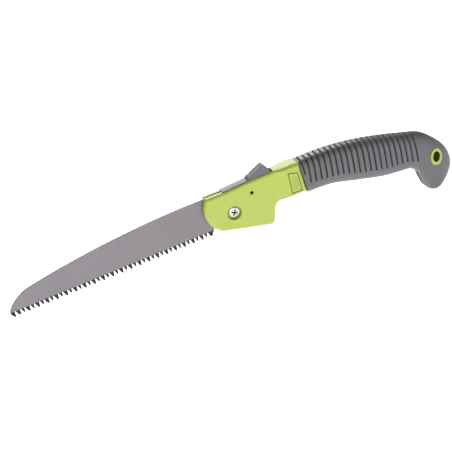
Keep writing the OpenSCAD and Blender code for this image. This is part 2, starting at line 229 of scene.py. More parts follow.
def loft(name: str, rings: Sequence[np.ndarray], closed: bool = False) -> bpy.types.Object:
    """A solid through rings of equally many points.

    Args:
        name: The object's name.
        rings: The rings, in order.
        closed: Whether the last ring joins the first one again, as in a hoop.

    Returns:
        The new object.
    """
    count, size = len(rings), len(rings[0])
    faces = []
    for i in range(count if closed else count - 1):
        a, b = i * size, (i + 1) % count * size
        faces += [(a + j, a + (j + 1) % size, b + (j + 1) % size, b + j) for j in range(size)]
    if not closed:
        faces += [tuple(range(size)), tuple(range((count - 1) * size, count * size))]
    return solid(name, np.concatenate(rings), faces)


def layer(outline: Outline, y: float) -> np.ndarray:
    """An outline in X and Z as a ring of points at one Y."""
    return np.array([(x, y, z) for x, z in outline])


def plate(name: str, outline: Outline, low: float, high: float) -> bpy.types.Object:
    """A flat plate between two values of Y."""
    return loft(name, [layer(outline, low), layer(outline, high)])


def soft_plate(
    name: str,
    outline: Outline,
    low: float,
    high: float,
    rounding: tuple[float, float],
    steps: int,
) -> bpy.types.Object:
    """A flat plate whose edges are rounded.

    Args:
        name: The object's name.
        outline: Its outline in X and Z.
        low: The Y of one face.
        high: The Y of the other face.
        rounding: The radius along the low face's edge and along the high face's edge.
        steps: The number of facets in a rounding.

    Returns:
        The new object.
    """
    rings = []
    for y, radius, inward in ((low, rounding[0], 1), (high, rounding[1], -1)):
        if radius <= 0:
            side = [layer(outline, y)]
        else:
            side = [layer(inset(outline, radius * 1.06), y)]
            for a in np.radians(np.linspace(0, 90, steps + 1)):
                depth, rise = radius * (1 - math.sin(a)), radius * (1 - math.cos(a))
                side.append(layer(inset(outline, depth), y + inward * rise))
        rings += side if inward == 1 else side[::-1]
    return loft(name, rings)


def turned(
    name: str,
    profile: Sequence[Point],
    at: Point = (0.0, 0.0),
    around: int = 96,
    hoop: bool = False,
) -> bpy.types.Object:
    """A solid of revolution about a line along Y.

    Args:
        name: The object's name.
        profile: Points of radius and Y.
        at: X and Z of the axis.
        around: The number of facets around it.
        hoop: Whether the profile is a closed loop clear of the axis.

    Returns:
        The new object.
    """
    angles = np.linspace(0, 2 * math.pi, around, endpoint=False)
    rings = [
        np.stack([at[0] + r * np.cos(angles), np.full(around, y), at[1] + r * np.sin(angles)], 1)
        for r, y in profile
    ]
    return loft(name, rings, closed=hoop)


def turned_up(name: str, at: Point, radius: float, low: float, high: float) -> bpy.types.Object:
    """A round bar that stands upright.

    Args:
        name: The object's name.
        at: X and Y of its axis.
        radius: Its radius.
        low: The height of its foot.
        high: The height of its top.

    Returns:
        The new object.
    """
    made = turned(name, [(radius, low), (radius, high)], around=64)
    upright = Matrix.Rotation(math.radians(90), 4, "X")
    made.data.transform(Matrix.Translation((at[0], at[1], 0)) @ upright)
    return flipped(made)


def block(name: str, low: Point, high: Point) -> bpy.types.Object:
    """A box between two corners."""
    (x0, y0, z0), (x1, y1, z1) = low, high
    return plate(name, [(x0, z0), (x1, z0), (x1, z1), (x0, z1)], y0, y1)


def seed() -> bpy.types.Object:
    """A single small face, for a tree of geometry nodes that makes all of its own geometry."""
    return solid("seed", np.array([(0, 0, 0), (1, 0, 0), (0, 1, 0)]), [(0, 1, 2)])


def settle(made: bpy.types.Object) -> bpy.types.Object:
    """Makes an object's modifiers part of its mesh.

    Args:
        made: The object.

    Returns:
        The same object, with no modifiers left.
    """
    bpy.context.view_layer.update()
    graph = bpy.context.evaluated_depsgraph_get()
    mesh = bpy.data.meshes.new_from_object(made.evaluated_get(graph))
    made.modifiers.clear()
    old, made.data = made.data, mesh
    bpy.data.meshes.remove(old)
    return made


def combine(
    base: bpy.types.Object, tools: Sequence[bpy.types.Object], how: Cut
) -> bpy.types.Object:
    """Adds other solids to a solid or removes them from it, and deletes them.

    Args:
        base: The solid that is changed.
        tools: The solids to add or remove.
        how: Which of the two.

    Returns:
        The changed solid.
    """
    for tool in tools:
        before = base.data.copy()
        for solver in ("MANIFOLD", "EXACT"):
            step = base.modifiers.new("combine", "BOOLEAN")
            step.operation, step.solver, step.object = how.value, solver, tool
            settle(base)
            if len(base.data.polygons) > 3:
                break
            base.data = before.copy()
        bpy.data.objects.remove(tool)
    return base


def pattern(
    made: bpy.types.Object, tree: bpy.types.NodeTree, sizes: dict[str, float]
) -> bpy.types.Object:
    """Runs a tree of geometry nodes on an object and keeps the result as its mesh.

    Args:
        made: The object.
        tree: The tree.
        sizes: The value of each of its inputs, by name.

    Returns:
        The object with its new mesh.
    """
    step = made.modifiers.new(tree.name, "NODES")
    step.node_group = tree
    for item in tree.interface.items_tree:
        if item.item_type == "SOCKET" and item.in_out == "INPUT" and item.name in sizes:
            step[item.identifier] = sizes[item.name]
    return settle(made)


def hand_over(
    made: bpy.types.Object,
    body: str,
    finish: bpy.types.Material,
    nodes: Sequence[str] = (),
    sharp: float = 32.0,
) -> None:
    """Places a finished mesh in the frame, shades it and lets it ride on its body.

    Args:
        made: The object, in millimetres about the pivot.
        body: The CAD body that it rides on.
        finish: Its material.
        nodes: The CAD nodes that it stands for.
        sharp: The angle in degrees past which an edge stays sharp.
    """
    made.data.transform(TO_FRAME)
    made.data.materials.clear()
    made.data.materials.append(finish)
    for face in made.data.polygons:
        face.use_smooth = True
        face.material_index = 0
    made.data.set_sharp_from_angle(angle=math.radians(sharp))
    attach(made, body)
    if nodes:
        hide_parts(*nodes)
    LOG.info("%s: %d faces on %s", made.name, len(made.data.polygons), body)


# ---------- Node trees ----------


def feed(tree: bpy.types.NodeTree, node: bpy.types.Node, inputs: dict) -> None:
    """Gives a node its inputs.

    Args:
        tree: The tree that the node is in.
        node: The node.
        inputs: By name or number, a value, a socket to link from, or a node whose first
            output to link from.
    """
    for key, value in inputs.items():
        source = value.outputs[0] if isinstance(value, bpy.types.Node) else value
        if isinstance(source, bpy.types.NodeSocket):
            tree.links.new(source, node.inputs[key])
        else:
            node.inputs[key].default_value = source


def add_node(
    tree: bpy.types.NodeTree, kind: str, inputs: dict | None = None, **settings: object
) -> bpy.types.Node:
    """Adds a node to a tree with its settings, its values and its links.

    Args:
        tree: The tree.
        kind: The node's type.
        inputs: Its inputs, as feed takes them.
        settings: The node's own settings.

    Returns:
        The new node.
    """
    node = tree.nodes.new(kind)
    for key, value in settings.items():
        setattr(node, key, value)
    feed(tree, node, inputs or {})
    return node


def new_tree(name: str, sizes: dict[str, float]) -> tuple[bpy.types.NodeTree, dict]:
    """A tree of geometry nodes with named inputs for its sizes.

    Args:
        name: The tree's name.
        sizes: Each size's name and usual value.

    Returns:
        The tree, and the sockets of its inputs by name.
    """
    tree = bpy.data.node_groups.new(name, "GeometryNodeTree")
    for way in ("INPUT", "OUTPUT"):
        tree.interface.new_socket("Geometry", in_out=way, socket_type="NodeSocketGeometry")
    for label, value in sizes.items():
        made = tree.interface.new_socket(label, in_out="INPUT", socket_type="NodeSocketFloat")
        made.default_value = value
    given = tree.nodes.new("NodeGroupInput")
    return tree, {label: given.outputs[label] for label in ("Geometry", *sizes)}


def end_tree(
    tree: bpy.types.NodeTree, geometry: bpy.types.Node, finish: bpy.types.Material
) -> None:
    """Ends a tree of geometry nodes with real geometry in one material.

    Args:
        tree: The tree.
        geometry: The node whose first output is the finished geometry.
        finish: The material that it gets.
    """
    real = add_node(tree, "GeometryNodeRealizeInstances", {"Geometry": geometry})
    dressed = add_node(
        tree, "GeometryNodeSetMaterial", {"Geometry": real, "Material": finish}
    )
    add_node(tree, "NodeGroupOutput", {0: dressed})


def row_of(
    tree: bpy.types.NodeTree, pitch: bpy.types.NodeSocket, count: int, piece: bpy.types.Node
) -> bpy.types.Node:
    """Sets copies of a piece side by side along X.

    Args:
        tree: The tree of geometry nodes.
        pitch: The socket that gives the distance from one copy to the next.
        count: The number of copies.
        piece: The node that makes the piece.

    Returns:
        The node whose first output is the row.
    """
    step = add_node(tree, "ShaderNodeCombineXYZ", {"X": pitch})
    line = add_node(
        tree, "GeometryNodeMeshLine", {"Count": count, "Offset": step}, mode="OFFSET"
    )
    return add_node(tree, "GeometryNodeInstanceOnPoints", {"Points": line, "Instance": piece})


def linear(code: str) -> tuple[float, float, float, float]:
    """A colour given as an sRGB hex code, in linear light."""
    values = [int(code[i : i + 2], 16) / 255 for i in (1, 3, 5)]
    return (*(v / 12.92 if v <= 0.04045 else ((v + 0.055) / 1.055) ** 2.4 for v in values), 1.0)


def per_mm(size: float) -> float:
    """The scale of a texture on Object coordinates whose features are this many millimetres."""
    return 1 / (size * MM)


# ---------- Finishes ----------


@dataclass(frozen=True)
class Finish:
    """What every finish starts from: its name, and two close tones that drift over a piece."""

    name: str
    colour: str
    shade: str

    def blank(self) -> tuple[bpy.types.Material, bpy.types.NodeTree, bpy.types.NodeSocket]:
        """Starts a material.

        Returns:
            The material, its tree, and the socket of its Object coordinates.
        """
        finish = bpy.data.materials.new(self.name)
        finish.use_nodes = True
        tree = finish.node_tree
        return finish, tree, add_node(tree, "ShaderNodeTexCoord").outputs["Object"]

    def tones(
        self,
        tree: bpy.types.NodeTree,
        drift: bpy.types.Node,
        dark: str,
        share: bpy.types.Node | bpy.types.NodeSocket,
    ) -> bpy.types.NodeSocket:
        """The two tones mixed together, and then darkened in places: painted shade in recesses and
        grooves, or the hardened teeth's own darker colour.

        Args:
            tree: The material's tree.
            drift: The node that mixes the tones.
            dark: The third colour.
            share: How much of the third colour there is at each place.

        Returns:
            The socket of the colour.
        """
        body = add_node(
            tree, "ShaderNodeMix",
            {0: drift, 6: linear(self.colour), 7: linear(self.shade)}, data_type="RGBA",
        )
        toned = add_node(
            tree, "ShaderNodeMix",
            {0: share, 6: body.outputs[2], 7: linear(dark)}, data_type="RGBA",
        )
        return toned.outputs[2]

    def surface(
        self,
        tree: bpy.types.NodeTree,
        height: bpy.types.Node,
        height_mm: float,
        strength: float,
        inputs: dict,
    ) -> None:
        """Gives the shader the bump of a height and its other inputs.

        Args:
            tree: The material's tree.
            height: The node whose first output is the height.
            height_mm: How high its full value stands, in millimetres.
            strength: The share of that bump that is used.
            inputs: The shader's other inputs, as feed takes them.
        """
        bump = add_node(
            tree, "ShaderNodeBump",
            {"Height": height, "Distance": height_mm * MM, "Strength": strength},
        )
        feed(tree, tree.nodes["Principled BSDF"], {**inputs, "Normal": bump})


@dataclass(frozen=True)
class MouldedNylon(Finish):
    """Glass-filled nylon from a spark-eroded mould: a soft sheen over a fine even grain."""

    # The colour of painted shade in recesses, gaps and grooves.
    recess: str = "#3C4418"
    roughness: float = 0.44
    spread: float = 0.06
    recess_rough: float = 0.5
    grain_mm: float = 0.55
    grain_height: float = 0.05
    flow_mm: float = 26.0

    def build(self) -> bpy.types.Material:
        """Builds the material.

        Returns:
            The material. Its grain is drawn coarser than the real 0.1 mm so that it shows, and
            recesses get painted shade and a duller roughness by the mesh's own attribute.
        """
        finish, tree, place = self.blank()
        flow = add_node(
            tree, "ShaderNodeTexNoise",
            {"Vector": place, "Scale": per_mm(self.flow_mm), "Detail": 3.0},
        )
        # Painted shade: how much each face is darkened as if it lay in shade.
        deep = add_node(tree, "ShaderNodeAttribute", attribute_name="recess").outputs["Fac"]
        grain = add_node(
            tree, "ShaderNodeTexNoise",
            {"Vector": place, "Scale": per_mm(self.grain_mm), "Detail": 4.0, "Roughness": 0.65},
        )
        low, high = self.roughness - self.spread, self.roughness + self.spread
        rough = add_node(
            tree, "ShaderNodeMapRange", {"Value": grain, "To Min": low, "To Max": high}
        )
        duller = add_node(
            tree, "ShaderNodeMath", {0: deep, 1: self.recess_rough, 2: rough},
            operation="MULTIPLY_ADD",
        )
        colour = self.tones(tree, flow, self.recess, deep)
        self.surface(
            tree, grain, self.grain_height, 0.5,
            {"Base Color": colour, "Roughness": duller, "IOR": 1.53},
        )
        return finish


@dataclass(frozen=True)
class GripRubber(Finish):
    """Overmoulded thermoplastic rubber: matt, fine pebble grain, painted shade in the grooves."""

    # The colour of painted shade in the grooves and on the walls of the blade's slot.
    groove: str
    roughness: float = 0.44
    spread: float = 0.07
    cloud_mm: float = 14.0
    fine_mm: float = 0.4
    pebble_mm: float = 0.7
    pebble_height: float = 0.07

    def build(self) -> bpy.types.Material:
        """Builds the material.

        Returns:
            The material. Painted shade darkens its grooves by the mesh's own attribute of groove
            depth, and the walls of the blade's slot by its attribute of painted shade.
        """
        finish, tree, place = self.blank()
        cloud = add_node(
            tree, "ShaderNodeTexNoise",
            {"Vector": place, "Scale": per_mm(self.cloud_mm), "Detail": 4.0},
        )
        depth = add_node(tree, "ShaderNodeAttribute", attribute_name="groove_depth").outputs["Fac"]
        slot = add_node(tree, "ShaderNodeAttribute", attribute_name="recess").outputs["Fac"]
        # Painted shade: deeper in the grooves, and full on the walls of the blade's slot.
        squared = add_node(tree, "ShaderNodeMath", {0: depth, 1: depth}, operation="MULTIPLY")
        painted_shade_share = add_node(tree, "ShaderNodeMath", {0: squared, 1: slot}, operation="MAXIMUM")
        pebble = add_node(
            tree, "ShaderNodeTexVoronoi", {"Vector": place, "Scale": per_mm(self.pebble_mm)},
            feature="SMOOTH_F1",
        )
        fine = add_node(
            tree, "ShaderNodeTexNoise",
            {"Vector": place, "Scale": per_mm(self.fine_mm), "Detail": 3.0},
        )
        low, high = self.roughness - self.spread, self.roughness + self.spread
        rough = add_node(
            tree, "ShaderNodeMapRange", {"Value": fine, "To Min": low, "To Max": high}
        )
        height = add_node(tree, "ShaderNodeMath", {0: pebble, 1: fine}, operation="ADD")
        colour = self.tones(tree, cloud, self.groove, painted_shade_share)
        self.surface(
            tree, height, self.pebble_height, 0.3,
            {"Base Color": colour, "Roughness": rough, "IOR": 1.5},
        )
        return finish


@dataclass(frozen=True)
class GroundSteel(Finish):
    """Spring steel ground lengthwise to a satin, its teeth darkened where they were hardened."""

    hardened: str
    edge_z: float
    line_mm: float = 0.5
    line_height: float = 0.012
    line_stretch: float = 0.02
    cloud_mm: float = 30.0
    ragged_mm: float = 2.5
    ragged_rise: float = 0.6
    roughness: float = 0.46
    spread: float = 0.08
    fade_mm: float = 0.5

    def build(self) -> bpy.types.Material:
        """Builds the material.

        Returns:
            The material. Grinding lines run along X and are drawn wider than the real 0.05 mm.
        """
        finish, tree, place = self.blank()
        stretch = add_node(
            tree, "ShaderNodeMapping", {"Vector": place, "Scale": (self.line_stretch, 1.0, 1.0)}
        )
        lines = add_node(
            tree, "ShaderNodeTexNoise",
            {"Vector": stretch, "Scale": per_mm(self.line_mm), "Detail": 5.0, "Roughness": 0.7},
        )
        cloud = add_node(
            tree, "ShaderNodeTexNoise",
            {"Vector": place, "Scale": per_mm(self.cloud_mm), "Detail": 3.0},
        )
        height = add_node(tree, "ShaderNodeSeparateXYZ", {"Vector": place}).outputs["Z"]
        ragged = add_node(
            tree, "ShaderNodeTexNoise", {"Vector": place, "Scale": per_mm(self.ragged_mm)}
        )
        shifted = add_node(
            tree, "ShaderNodeMath", {0: ragged, 1: self.ragged_rise * MM, 2: height},
            operation="MULTIPLY_ADD",
        )
        start, end = self.edge_z, self.edge_z + self.fade_mm * MM
        zone = add_node(
            tree, "ShaderNodeMapRange",
            {"Value": shifted, "From Min": start, "From Max": end, "To Min": 1.0, "To Max": 0.0},
            interpolation_type="SMOOTHSTEP",
        )
        low, high = self.roughness - self.spread, self.roughness + self.spread
        rough = add_node(
            tree, "ShaderNodeMapRange", {"Value": lines, "To Min": low, "To Max": high}
        )
        colour = self.tones(tree, cloud, self.hardened, zone)
        self.surface(
            tree, lines, self.line_height, 0.5,
            {"Base Color": colour, "Roughness": rough, "Metallic": 1.0},
        )
        return finish


@dataclass(frozen=True)
class PlatedSteel(Finish):
    """Steel with a bright zinc plate, slightly uneven where it was barrel plated."""

    # The colour of painted shade in hollows.
    recess: str = "#26241F"
    roughness: float = 0.24
    smoother: float = 0.08
    rougher: float = 0.1
    blotch_mm: float = 1.4
    blotch_height: float = 0.01

    def build(self) -> bpy.types.Material:
        """Builds the material.

        Returns:
            The material. Its hollows get painted shade, nearly black.
        """
        finish, tree, place = self.blank()
        blotch = add_node(
            tree, "ShaderNodeTexNoise",
            {"Vector": place, "Scale": per_mm(self.blotch_mm), "Detail": 4.0},
        )
        # Painted shade: which faces are darkened as if in shade.
        deep = add_node(tree, "ShaderNodeAttribute", attribute_name="recess").outputs["Fac"]
        low, high = self.roughness - self.smoother, self.roughness + self.rougher
        rough = add_node(
            tree, "ShaderNodeMapRange", {"Value": blotch, "To Min": low, "To Max": high}
        )
        colour = self.tones(tree, blotch, self.recess, deep)
        self.surface(
            tree, blotch, self.blotch_height, 0.5,
            {"Base Color": colour, "Roughness": rough, "Metallic": 1.0},
        )
        return finish


@dataclass(frozen=True)
class Finishes:
    """Every finish on the saw, built once."""

    lime: bpy.types.Material
    rubber: bpy.types.Material
    latch: bpy.types.Material
    blade: bpy.types.Material
    bright: bpy.types.Material
    plain: bpy.types.Material
    black: bpy.types.Material


def make_finishes() -> Finishes:
    """Builds the saw's finishes.

    Returns:
        The finishes, the blade's with its dark zone just above the roots of its teeth.
    """
    edge = PIVOT.z + (-Blade.edge_drop + Blade.tooth_depth + Blade.hard_above) * MM
    return Finishes(
        lime=MouldedNylon("lime moulded nylon", "#B5C758", "#AFC151").build(),
        rubber=GripRubber("grey thermoplastic rubber", "#6A6A6E", "#646468", "#232326").build(),
        latch=MouldedNylon("grey moulded nylon", "#6B6B77", "#666672", roughness=0.5).build(),
        blade=GroundSteel(
            "satin ground spring steel", "#8A868A", "#827E82", "#3A393B", edge
        ).build(),
        bright=PlatedSteel("bright zinc plated steel", "#DADBDD", "#C4C6CA").build(),
        plain=PlatedSteel("plain stamped steel", "#8E8E92", "#7C7C80", roughness=0.4).build(),
        black=PlatedSteel("blackened steel", "#1E1D1B", "#161514", roughness=0.5).build(),
    )


# ---------- Blade ----------


@dataclass
class Blade:
    """The curved-back blade, its hollow-ground teeth and its round tang."""

    finishes: Finishes
    length: float = 180.0
    thickness: float = 1.4
    pitch: float = 4.16
    tooth_depth: float = 5.4
    tooth_step: float = 0.9
    tooth_lead: float = 0.21
    tip_land: float = 1.6
    tip_rise: float = 0.9
    rake_lean: float = 0.55
    gullet_w: float = 0.7
    edge_drop: float = 17.0
    spine_rise: float = 21.4
    spine_bow: float = 0.00068
    heel_x: float = -23.8
    arc_start: float = -30.0
    tang_r: float = 14.5
    lug_r: float = 17.0
    lug_w: float = 1.45
    lug_at: float = 1.975
    bore_r: float = 4.55
    fold_angle: float = 166.0
    grind: float = 0.35
    chamfer: float = 0.12
    hard_above: float = 0.6

    def spine_at(self, x: float) -> float:
        """The height of the back of the blade at x."""
        return self.spine_rise - self.spine_bow * min(x - self.arc_start, 0.0) ** 2

    def outline(self) -> tuple[Outline, list[bool]]:
        """The outline of the blade without its tang.

        Returns:
            The outline, and for each of its points whether it is on a tooth.
        """
        tip_x = self.heel_x - self.length
        nose = (tip_x - 2.3, -self.edge_drop + 6.5)
        end = tip_x + 19
        shoulder = STOP_AT[0] - STOP_R - 0.05
        body = [(shoulder, 0.0), (shoulder, self.spine_rise - 1.5)]
        body += [(shoulder - 1.45, self.spine_rise)]
        body += [(x, self.spine_at(x)) for x in np.linspace(self.arc_start, end, 60)]
        start, leave = (end, self.spine_at(end)), (end - 8.6, self.spine_at(end) - 2.4)
        arrive = (nose[0] + 2.9, nose[1] + 6)
        body += [bezier(start, leave, arrive, nose, i / 20) for i in range(1, 21)]
        body += [
            (nose[0], nose[1] - 2), (nose[0] + 1.2, nose[1] - 4.6),
            (tip_x + 0.2, -self.edge_drop + 0.25), (tip_x + 0.8, -self.edge_drop),
        ]
        teeth: Outline = []
        count = int((self.length - 5) // self.pitch) + 1
        root = -self.edge_drop + self.tooth_depth
        for i in range(count):
            lead, share, z = self.tooth_lead, 1.0, -self.edge_drop
            if i % 2:
                lead, share, z = -lead, 0.6, z + self.tooth_step
            x = self.heel_x - (count - 1 - i) * self.pitch + lead
            start = x - self.pitch - 2 * lead + self.rake_lean
            back = (x - self.tip_land * share, z + self.tip_rise * share)
            teeth += [(start, root), (start + self.gullet_w, root), back, (x, z)]
        heel = [(self.heel_x + 1.2, -self.edge_drop + 3), (-18.5, -8.0), (-13.0, -4.0)]
        return body + teeth + heel, [False] * len(body) + [True] * len(teeth) + [False] * len(heel)

    def ground_body(self) -> bpy.types.Object:
        """Makes the toothed part, with its teeth ground to an edge on the middle plane.

        Returns:
            The new object. Its teeth slope from both faces to the middle plane, and the rest
            of its outline is chamfered.
        """
        outline, on_tooth = self.outline()
        edge = np.array(outline)
        eased = np.array(inset(outline, self.chamfer))
        ground = edge + np.array([-0.5, 2.2]) * self.grind
        tooth = np.array(on_tooth)[:, None]
        half = self.thickness / 2
        rings = []
        full, ease = half - self.chamfer, 1 - self.chamfer / half
        for y, share, flush in (
            (-half, 1.0, False), (-full, ease, True), (0.0, 0.0, True), (full, ease, True),
            (half, 1.0, False),
        ):
            flat = np.where(tooth, edge + (ground - edge) * share, edge if flush else eased)
            rings.append(layer([tuple(p) for p in flat], y))
        return loft("saw_blade", rings)

    def tang(self) -> list[bpy.types.Object]:
        """Makes the round tang and its two pairs of lock lugs.

        Returns:
            The disc, then the pair of lugs for the open blade and the pair for the folded one.
        """
        half, r = self.thickness / 2, self.tang_r
        disc = [(0.01, -half), (r, -half), (r, half), (0.01, half)]
        parts = [turned("tang", disc, around=160)]
        top = math.sqrt(self.lug_r**2 - 9)
        for turn in (0.0, -math.radians(self.fold_angle)):
            for side in (-1, 1):
                left = side * self.lug_at - self.lug_w / 2
                right = side * self.lug_at + self.lug_w / 2
                cos, sin = math.cos(turn), math.sin(turn)
                spun = [
                    (x * cos - z * sin, x * sin + z * cos)
                    for x, z in ((left, r - 2), (right, r - 2), (right, top), (left, top))
                ]
                parts.append(plate("lug", spun, -half, half))
        return parts

    def build(self) -> None:
        """Builds the blade and hands it over."""
        made = combine(self.ground_body(), self.tang(), Cut.ADD)
        bore = turned("bore", [(self.bore_r, -2), (self.bore_r, 2)])
        combine(made, [bore], Cut.REMOVE)
        hand_over(made, "blade", self.finishes.blade, ["blade"], sharp=20)


# ---------- Handle ----------


@dataclass
class HandleForm:
    """The form that the grip and the core share: rows from the collar to the tip of the hook."""

    edge_drop: float = 17.0
    fold_angle: float = 166.0
    slot_end_r: float = 208.167
    grip_x: float = 68.8
    half: float = 10.0
    skin: float = 3.7
    core_half: float = 4.3
    slot_half: float = 1.5
    roof_gap: float = 1.0
    core_last: float = 8.4
    eye_offset: tuple = (-5.0, 27.0)
    eye_seat_r: float = 5.91

    def __post_init__(self) -> None:
        """Works out the rows of top point, belly point and half thickness."""
        lie = math.radians(180 - self.fold_angle)
        self.lie = lie
        self.anchor = self.slot_end_r * np.array([math.cos(lie), -math.sin(lie)])
        straight = (
            (0, -3.6, 9.2, 32.9, 0.95), (0.18, 1, 4.6, 33.9, 1), (0.36, 5, 5.2, 37.1, 1),
            (0.55, 6, 5.7, 38, 1), (0.685, 8, 3.9, 35.2, 0.98),
        )
        hook = (
            (-16, 54, -30.5, 22.3, 0.96), (-2.2, 43.3, -23, 15.6, 0.94),
            (8.8, 29.9, -20.4, 8, 0.92), (13.1, 15.4, -18, 0, 0.9), (10, 4.2, -14.2, -5.8, 0.82),
            (3, -4.6, -10, -9.1, 0.66), (-2.5, -8.8, -6, -9.9, 0.3),
        )
        tops, bellies, halves = [], [], []
        for share, lean, margin, tall, half in straight:
            x = self.grip_x + share * (self.anchor[0] - self.grip_x)
            z = self.roof(x) - margin
            tops.append((x + lean, z + tall))
            bellies.append((x, z))
            halves.append(half * self.half)
        for top_x, top_z, low_x, low_z, half in hook:
            tops.append((self.anchor[0] + top_x, self.anchor[1] + top_z))
            bellies.append((self.anchor[0] + low_x, self.anchor[1] + low_z))
            halves.append(half * self.half)
        self.tops, self.bellies = np.array(tops), np.array(bellies)
        self.halves = np.array(halves)[:, None]
        self.eye = tuple(self.anchor + self.eye_offset)

    def roof(self, x: float) -> float:
        """The height of the folded teeth at x."""
        return self.edge_drop / math.cos(self.lie) - x * math.tan(self.lie)

    def top(self, t: float) -> np.ndarray:
        """The point of the top line at t."""
        return blend_along(self.tops, t)

    def belly(self, t: float) -> np.ndarray:
        """The point of the belly line at t."""
        return blend_along(self.bellies, t)

    def thick(self, t: float) -> float:
        """The half thickness at t."""
        return float(blend_along(self.halves, t)[0])

    def power(self, t: float) -> float:
        """How square the section is at t: an ellipse in the hook, a rounded box in the straight."""
        return float(np.interp(t, [0, 3.5, 5.5, 8, 11], [3.6, 3.4, 2.6, 2.3, 2.05]))

    def core_outline(self) -> Outline:
        """Works out the outline of the core.

        Returns:
            The outline, a skin inside the grip and reaching back under the collar.
        """
        upper, lower = [], []
        for t in np.linspace(0, self.core_last, 29):
            top, belly = self.top(t), self.belly(t)
            inward = self.skin * (belly - top) / np.linalg.norm(belly - top)
            upper.append(tuple(top + inward))
            lower.append(tuple(belly - inward))
        back = self.grip_x - 14
        return [(back, upper[0][1]), *upper, *lower[::-1], (back, lower[0][1])]

    def slot(self, name: str) -> bpy.types.Object:
        """Makes the room that the folding blade sweeps through.

        Args:
            name: The object's name.

        Returns:
            The room as a solid to cut with.
        """
        rise = self.roof_gap / math.cos(self.lie)
        meet = math.degrees(math.asin((self.edge_drop + self.roof_gap) / self.slot_end_r))
        outline = [(20.0, -90.0), (20.0, self.roof(20) + rise), (40.0, self.roof(40) + rise)]
        outline += arc((0, 0), self.slot_end_r, meet - math.degrees(self.lie), -30, 40)
        outline += [(self.anchor[0], -110.0)]
        return plate(name, outline, -self.slot_half, self.slot_half)


